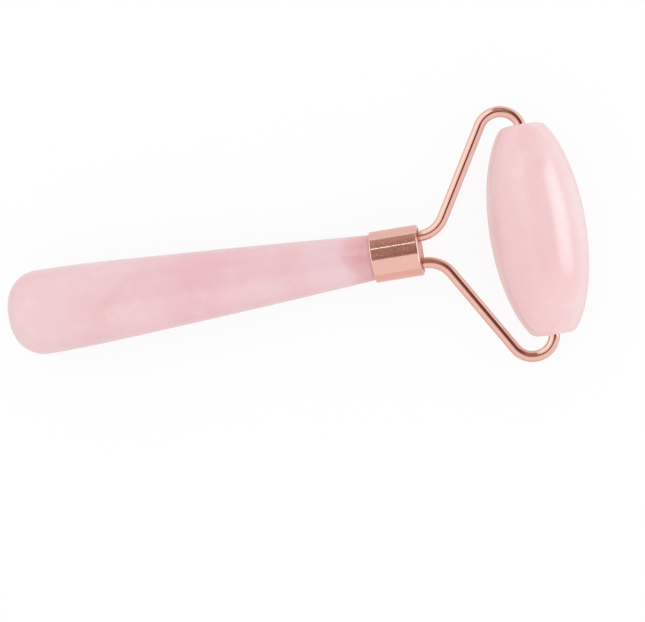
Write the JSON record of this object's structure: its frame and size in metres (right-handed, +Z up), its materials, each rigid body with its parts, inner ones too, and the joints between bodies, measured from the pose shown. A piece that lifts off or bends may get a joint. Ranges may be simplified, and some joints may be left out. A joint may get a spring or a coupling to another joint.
{
  "type": "face roller",
  "caption": "Hand-held massage roller: a barrel-shaped pink stone spins between the arms of a plated wire fork on a tapered stone handle.",
  "frame": {"origin": "middle of the bounding box, on the table the roller lies on", "axes": "+X along the handle towards the barrel stone, +Y along the barrel stone's spin axis, +Z up from the table; the roller lies on the stone's crown and the handle's wide end, so handle and fork are tilted 0.55 degrees about Y"},
  "size_m": [0.1268, 0.055, 0.0206],
  "materials": {
    "rose_quartz_handle": "polished",
    "rose_quartz_roller": "polished",
    "rose_gold_ferrule": "polished",
    "rose_gold_wire": "polished",
    "clear_resin": "gloss",
    "white_nylon": "satin"
  },
  "bodies": {
    "handle_and_fork": {"handle_stone": "rose_quartz_handle", "handle_bond": "clear_resin", "ferrule_sleeve": "rose_gold_ferrule", "ferrule_end_disc": "rose_gold_ferrule", "fork_potting": "clear_resin", "fork_arm_left": "rose_gold_wire", "fork_arm_right": "rose_gold_wire"},
    "roller": {"roller_stone": "rose_quartz_roller", "roller_bush_left": "white_nylon", "roller_bush_right": "white_nylon"}
  },
  "joints": [
    {"name": "roller_spin", "type": "hinge", "parent": "handle_and_fork", "child": "roller", "pos_m": [0.0531, 0, 0.0103], "axis": [0, 1, 0], "continuous": true}
  ]
}
